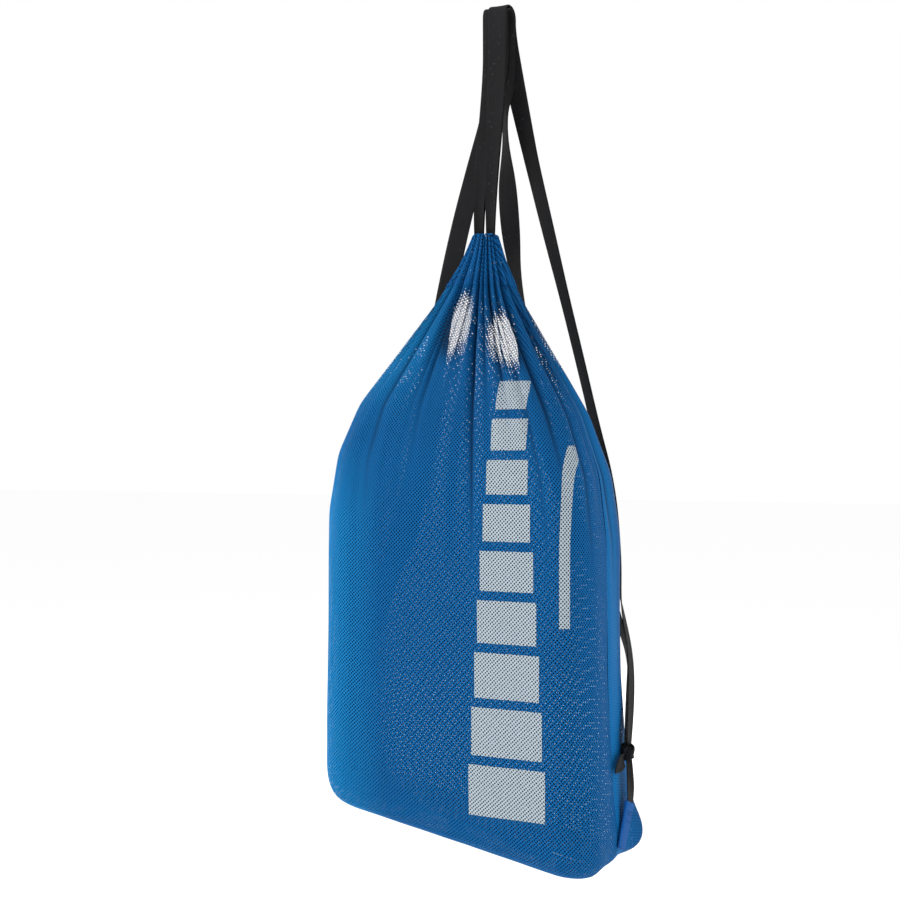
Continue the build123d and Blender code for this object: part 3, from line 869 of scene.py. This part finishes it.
# A tape's section: places from edge to edge, and how thick it is at each, with rounded selvedges.
TAPE_PLACES = np.array([-1, -0.93, -0.8, -0.55, -0.28, 0, 0.28, 0.55, 0.8, 0.93, 1])
TAPE_RIMS = np.array([0.45, 0.95, 1.0, 0.86, 0.86, 0.86, 0.86, 0.86, 1.0, 0.95, 0.45])
TAPE_WAVE, TAPE_WAVE_LENGTH = 0.18, 23.0


def tape_mesh(name, stops, facings, widths, folds, body="bag"):
    """A flat woven tape swept along a spline: stops in mm, one facing and width for each."""
    line = spline_points(name, stops)
    normals = spline_points(name, facings)
    shape = spline_points(name, [(w, f, 0.0) for w, f in zip(widths, folds)])
    ahead = np.gradient(line, axis=0)
    ahead /= np.linalg.norm(ahead, axis=1)[:, None]
    normals -= ahead * (normals * ahead).sum(axis=1)[:, None]
    normals /= np.linalg.norm(normals, axis=1)[:, None]
    sideways = np.cross(ahead, normals)
    travelled = lengths_along(line)
    places = TAPE_PLACES
    rims = TAPE_RIMS * TAPE_THICKNESS / 2
    across = (places + 1) * TAPE_WIDTH / 2
    across = np.concatenate([across, across[::-1]])
    rows, uvs = [], []
    for index, centre in enumerate(line):
        half = shape[index, 0] / 2
        fold = shape[index, 1]
        cup = fold * half * places ** 2 - 0.4 * fold * half
        wave = TAPE_WAVE * math.sin(travelled[index] / TAPE_WAVE_LENGTH) * places
        squeeze = half * places * (1 - 0.25 * abs(fold))
        base = centre + sideways[index] * squeeze[:, None] + normals[index] * (cup + wave)[:, None]
        over = base + normals[index] * rims[:, None]
        under = base - normals[index] * rims[:, None]
        rows.append(np.concatenate([over, under[::-1]]))
        uvs.append(np.stack([across, np.full(len(across), travelled[index])], axis=1))
    faces = grid_faces(len(line), len(across), flip=True, wrap=True)
    faces += end_caps(len(line), len(across), flip=True)
    piece = new_object(name, np.concatenate(rows), faces, TAPE, body)
    add_uv(piece, "tape", np.concatenate(uvs))
    return piece, line * MM, travelled[-1] * MM


LEG_TOP, LEG_FOOT = 12.0, 62.0  # stops on a loop's straight legs, below the peg's middle


def peg_stops(side, layer, lead):
    """The stops that take a tape over the peg, from the back to the front, and their facings."""
    x = side * LOOP_X
    radius = PEG_RADIUS + LAYER_STEP * layer + TAPE_THICKNESS / 2
    stops = [
        (x + lead, radius, -LEG_FOOT), (x, radius, -LEG_TOP), (x, radius, radius),
        (x, -radius, radius), (x, -radius, -LEG_TOP), (x, -radius, -LEG_FOOT),
    ]
    back, front = (0.0, 1.0, 0.0), (0.0, -1.0, 0.0)
    facings = [back, back, (0.0, 0.9, 1.0), (0.0, -0.9, 1.0), front, front]
    return stops, facings


KNOT_X = {-1: -171.5, 1: 133.7}
KNOT_Y = 4.0
KNOT_Z = {-1: -695.0, 1: -731.0}
MOUTH_SPREAD = 6.8  # how far each drawcord enters the mouth from its middle
# Each pass of a drawcord: side, layer on the peg, how far it still is to the right where it comes
# to the loop's back leg, its stops up the back from the knot as x, y, z and the way it faces, and
# how far behind the side seams it enters the mouth.
PASSES = {
    "right_outer": (1, 3, 9.0, [
        (KNOT_X[1] + 1.2, KNOT_Y, KNOT_Z[1] + 7.0, 5.0),
        (129.5, 31.5, -682.0, -4.0),
        (122.5, 51.0, -640.0, 0.0),
        (110.5, 61.5, -600.0, 8.0),
        (101.5, 65.0, -545.0, 60.0),
        (94.0, 64.5, -475.0, 74.0),
        (81.0, 57.0, -400.0, 38.0),
        (28.5, 29.0, -160.0, 60.0),
        (18.0, 19.5, -100.0, 76.0),
    ], -2.5),
    "right_inner": (1, 1, 0.0, [
        (KNOT_X[1] - 1.2, KNOT_Y, KNOT_Z[1] + 7.0, 5.0),
        (125.6, 30.8, -682.0, 8.0),
        (121.0, 48.0, -645.0, 18.0),
        (110.5, 57.0, -615.0, 34.0),
        (92.0, 62.5, -580.0, 62.0),
        (70.0, 64.5, -535.0, 80.0),
        (42.0, 63.0, -470.0, 86.0),
        (18.0, 54.5, -395.0, 96.0),
        (4.0, 39.0, -270.0, 185.0),
        (-1.0, 27.0, -190.0, 110.0),
        (-1.0, 16.0, -100.0, 20.0),
    ], 0.5),
    "left_outer": (-1, 2, -1.0, [
        (KNOT_X[-1] - 1.2, KNOT_Y, KNOT_Z[-1] + 7.0, 175.0),
        (-168.0, 31.0, -640.0, 158.0),
        (-157.8, 56.0, -578.0, 137.0),
        (-142.0, 62.5, -515.0, 120.0),
        (-126.0, 65.0, -450.0, 106.0),
        (-84.0, 39.5, -290.0, 100.0),
        (-50.5, 26.0, -180.0, 98.0),
    ], -1.0),
    "left_inner": (-1, 0, -1.0, [
        (KNOT_X[-1] + 1.2, KNOT_Y, KNOT_Z[-1] + 7.0, 175.0),
        (-165.2, 30.0, -640.0, 158.0),
        (-151.8, 55.6, -572.0, 134.0),
        (-131.0, 63.0, -520.0, 113.0),
        (-117.0, 63.5, -450.0, 101.0),
        (-80.0, 35.5, -290.0, 98.0),
        (-48.5, 22.5, -180.0, 95.0),
    ], 2.0),
}
MOUTH_FOLD = 0.42  # how far a tape curls as it enters the mouth
MOUTH_DROP = 45.6  # the tapes hang straight for this height above the mouth


def make_pass(name, side, layer, lead, climb, behind):
    """One pass of a drawcord, from its knot up over the peg and down into the channel."""
    over, over_facings = peg_stops(side, layer, lead)
    mouth = (MOUTH_X + side * MOUTH_SPREAD, MID_Y + behind)
    descent = [(*mouth, MOUTH_Z + MOUTH_DROP), (*mouth, MOUTH_Z + 0.4)]
    stops = [stop[:3] for stop in climb] + over + descent
    facings = [facing_vector(stop[3]) for stop in climb] + over_facings
    facings += [facing_vector(-92.0), facing_vector(-88.0 - side * 12.0)]
    plain = len(climb) + len(over)
    widths = [TAPE_WIDTH] * plain + [13.5, FOLDED_WIDTH]
    folds = [0.03] * plain + [0.25, MOUTH_FOLD]
    piece, path, length = tape_mesh(f"{name}_tape", stops, facings, widths, folds, body=None)
    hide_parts(f"{name}_back_run", f"{name}_mouth_run")
    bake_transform(piece)
    return piece


TAPES = {name: make_pass(name, *facts) for name, facts in PASSES.items()}
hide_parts("left_hang_loop")
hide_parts("right_hang_loop")


# ---- knots, tails, tabs
TAB_LENGTH, TAB_HALF_WIDTH, TAB_HALF_DEPTH = 44.0, 11.6, 2.5
TAB_FOOT_X = 148.6  # how far each tab's foot is from the middle of the bag's foot
TACK_BOW = [(step * 0.5, 0.25 * math.sin(step)) for step in range(4)]  # a stitch, along and off


def band(centre, axis, radius_x, radius_y, width, thickness, tilt, turn):
    """A flat band of tape wound once round an axis, as points and faces."""
    axis = Vector(axis).normalized()
    side = axis.orthogonal().normalized()
    over = axis.cross(side)
    rows = 28
    profile = [(-0.5, -0.35), (-0.4, 0.5), (0, 0.62), (0.4, 0.5), (0.5, -0.35), (0, -0.5)]
    points = []
    for row in range(rows):
        angle = 2 * math.pi * row / rows + turn
        outward = side * math.cos(angle) * radius_x + over * math.sin(angle) * radius_y
        direction = outward.normalized()
        middle = Vector(centre) + outward + axis * tilt * math.cos(angle - turn)
        for along, out in profile:
            points.append(middle + axis * along * width + direction * out * thickness)
    count = len(profile)
    faces = grid_faces(rows, count, wrap=True)
    last = (rows - 1) * count
    faces += [(last + k, last + (k + 1) % count, (k + 1) % count, k) for k in range(count)]
    return points, faces


def make_knot(side, name):
    """The knot that ties a drawcord's two ends together: three crossing wraps of tape."""
    centre = Vector((KNOT_X[side], KNOT_Y, KNOT_Z[side]))
    up = Vector((0, 0, 3.2))
    wraps = [
        band(centre + up, (0.15 * side, 0.1, 1), 4.4, 9.6, 8.6, 2.2, 2.2, 0.4),
        band(centre - up, (-0.2 * side, -0.15, 1), 4.2, 9.2, 8.2, 2.2, -2.6, 1.5),
        band(centre, (0.75 * side, 0.55, 0.6), 4.6, 7.6, 7.0, 2.0, 1.0, 0.0),
    ]
    core = band(centre, (0, 0, 1), 1.6, 6.0, 15.5, 4.0, 0.0, 0.0)
    points, faces = join_tubes([*wraps, core])
    piece = new_object(f"{name}_cord_knot", points, faces, TAPE)
    where = np.array(points)
    add_uv(piece, "tape", np.stack([where[:, 1] + 10.0, where[:, 2]], axis=1))
    smooth = piece.modifiers.new("soften", "SUBSURF")
    smooth.levels = smooth.render_levels = 1
    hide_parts(f"{name}_knot")


def tab_axis(side):
    """The top of a corner tab and the direction that it runs down in."""
    top = Vector((KNOT_X[side] + side * 3.2, KNOT_Y - 4.0, KNOT_Z[side] - 48.0))
    foot = Vector((FOOT_X + side * TAB_FOOT_X, MID_Y + 3.0, top.z - 42.0))
    return top, (foot - top).normalized()


def make_end(side, name):
    """The flat tape end that runs from the knot down into the tab."""
    top, down = tab_axis(side)
    start = Vector((KNOT_X[side] + side * 0.6, KNOT_Y, KNOT_Z[side] - 6.0))
    middle = start.lerp(top, 0.55) + Vector((side * 1.0, 0.0, 0.0))
    stops = [start, middle, top - down * 6.0, top - down * 2.0, top + down * 15.0]
    square, turned = (0.0, -8.0) if side > 0 else (180.0, 188.0)
    facings = [facing_vector(angle) for angle in (turned, turned, square, square, square)]
    widths, folds = [12.0, 17.0, 20.0, 19.8, 19.5], [0.4, 0.2, 0.05, 0.02, 0.02]
    piece = tape_mesh(f"{name}_tape_end", stops, facings, widths, folds)[0]
    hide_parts(f"{name}_cord_end")


def make_tail(side, name):
    """The short free tail of tape that leaves the knot towards the front."""
    root = Vector((KNOT_X[side] - side * 1.0, KNOT_Y - 8.0, KNOT_Z[side] - 5.0))
    bend, droop, tip = (0, -7.0, -0.5), (side * -0.6, -15.0, -3.0), (side * -1.2, -24.0, -7.0)
    stops = [root, root + Vector(bend), root + Vector(droop), root + Vector(tip)]
    facings = [facing_vector(0.0 if side > 0 else 180.0)] * len(stops)
    widths, folds = [14.0, 18.0, 15.0, 3.0], [0.25, 0.1, 0.05, 0.0]
    piece = tape_mesh(f"{name}_tape_tail", stops, facings, widths, folds, f"{name}_tail")[0]
    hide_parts(f"{name}_cord_tail")


def tab_directions(side):
    """The way out of a tab's flat side, and the way across it."""
    _, down = tab_axis(side)
    outward = Vector(facing_vector(0.0 if side > 0 else 180.0))
    outward = (outward - down * outward.dot(down)).normalized()
    return outward, outward.cross(down)


def make_tab(side, name):
    """A folded mesh tab: a soft flat sleeve with a raw, uneven edge."""
    top, down = tab_axis(side)
    outward, across = tab_directions(side)
    rows, columns = 30, 28
    points = []
    for row in range(rows):
        share = row / (rows - 1)
        centre = top + down * (share * TAB_LENGTH - 1.0)
        half = TAB_HALF_WIDTH - 1.6 * share + 0.5 * math.sin(share * 9.0 + side)
        thick = TAB_HALF_DEPTH - 0.9 * share + 0.25 * math.sin(share * 14.0)
        for column in range(columns):
            turn = 2 * math.pi * column / columns
            wide, deep = math.cos(turn), math.sin(turn)
            wide = math.copysign(abs(wide) ** 0.75, wide)
            deep = math.copysign(abs(deep) ** 0.6, deep)
            dent = 1 - 0.3 * math.exp(-(((share - 0.2) / 0.05) ** 2)) * (abs(wide) < 0.8)
            points.append(centre + across * half * wide + outward * thick * deep * dent)
    faces = grid_faces(rows, columns, wrap=True) + end_caps(rows, columns)
    piece = new_object(f"{name}_mesh_tab", points, faces, TAB)
    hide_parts(f"{name}_corner_tab")


def make_tab_stitching(side, name):
    """Three short rows of bar-tack stitches across each face of a tab."""
    top, down = tab_axis(side)
    outward, across = tab_directions(side)
    stitches = []
    for drop in (8.0, 10.5, 17.0):
        for face in (-1, 1):
            out = outward * face
            for count in range(7):
                start = top + down * drop + across * (count * 2.4 - 8.4) + out * TAB_HALF_DEPTH
                bow = [start + across * along + out * off for along, off in TACK_BOW]
                stitches.append(tube(bow, 0.35, 5))
    points, faces = join_tubes(stitches)
    piece = new_object(f"{name}_bar_tack", points, faces, THREAD)
    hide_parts(f"{name}_tab_stitching")


for side, name in ((-1, "left"), (1, "right")):
    make_knot(side, name)
    make_end(side, name)
    make_tail(side, name)
    make_tab(side, name)
    make_tab_stitching(side, name)
    ring = bpy.data.objects[f"{name}_channel_ring"]
    for socket in ring.material_slots:
        socket.material = TAPE


for piece in (front_channel, back_channel):
    ring = ["left_channel_ring"]


# ---- camera, floor and light
CAMERA_AZIMUTH = math.radians(25.0)
CAMERA_DISTANCE = 1.3
CAMERA_HEIGHT = -0.436
CAMERA_SIDESTEP = -0.05
CAMERA_VIEW_WIDTH = 0.914  # how wide a view the camera has at its distance
LIGHT_TARGET = (0.0, 0.0, -0.5)
FLOOR_Z, FLOOR_REACH = -1050.0, 14000.0  # millimetres


def add_aimed(name, data, location, direction):
    """Put a camera or a light in the scene, looking along a direction."""
    aimed = bpy.data.objects.new(name, data)
    bpy.context.scene.collection.objects.link(aimed)
    aimed.location = location
    aimed.rotation_mode = "QUATERNION"
    aimed.rotation_quaternion = direction.to_track_quat("-Z", "Y")
    return aimed


def make_camera():
    """A level camera, a little to the right of the bag's front."""
    data = bpy.data.cameras.new("camera")
    data.sensor_width = 36.0
    data.lens = data.sensor_width * CAMERA_DISTANCE / CAMERA_VIEW_WIDTH
    right = Vector((math.cos(CAMERA_AZIMUTH), math.sin(CAMERA_AZIMUTH), 0.0))
    ahead = Vector((-math.sin(CAMERA_AZIMUTH), math.cos(CAMERA_AZIMUTH), 0.0))
    level = Vector((0, 0, CAMERA_HEIGHT))
    place = right * CAMERA_SIDESTEP - ahead * CAMERA_DISTANCE + level
    bpy.context.scene.camera = add_aimed("camera", data, place, ahead)


def make_light(name, location, size, power):
    """A square soft light that looks at the bag."""
    data = bpy.data.lights.new(name, "AREA")
    data.size = size
    data.energy = power
    add_aimed(name, data, location, Vector(LIGHT_TARGET) - Vector(location))


def make_stage():
    """A pale floor under the hanging bag and an even pale surround."""
    look = {"Base Color": (0.98, 0.98, 0.98), "Roughness": 1.0, "Specular IOR Level": 0.0}
    signs = ((-1, -1), (1, -1), (1, 1), (-1, 1))
    corners = [(x * FLOOR_REACH, y * FLOOR_REACH, FLOOR_Z) for x, y in signs]
    pale = Painter("pale_floor").finish(look)
    new_object("floor", corners, [(0, 1, 2, 3)], pale, body=None)
    world = bpy.data.worlds.new("studio")
    world.use_nodes = True
    background = world.node_tree.nodes["Background"]
    background.inputs["Color"].default_value = (1.0, 1.0, 1.0, 1.0)
    background.inputs["Strength"].default_value = 1.0
    bpy.context.scene.world = world


make_camera()
make_stage()
make_light("key", location=(-1.6, -1.5, 0.5), size=1.0, power=22.0)
make_light("fill", location=(1.9, -1.4, -0.1), size=1.4, power=5.0)
make_light("back", location=(-0.6, 2.0, 0.1), size=1.6, power=16.0)
bpy.context.scene.view_settings.view_transform = "Standard"
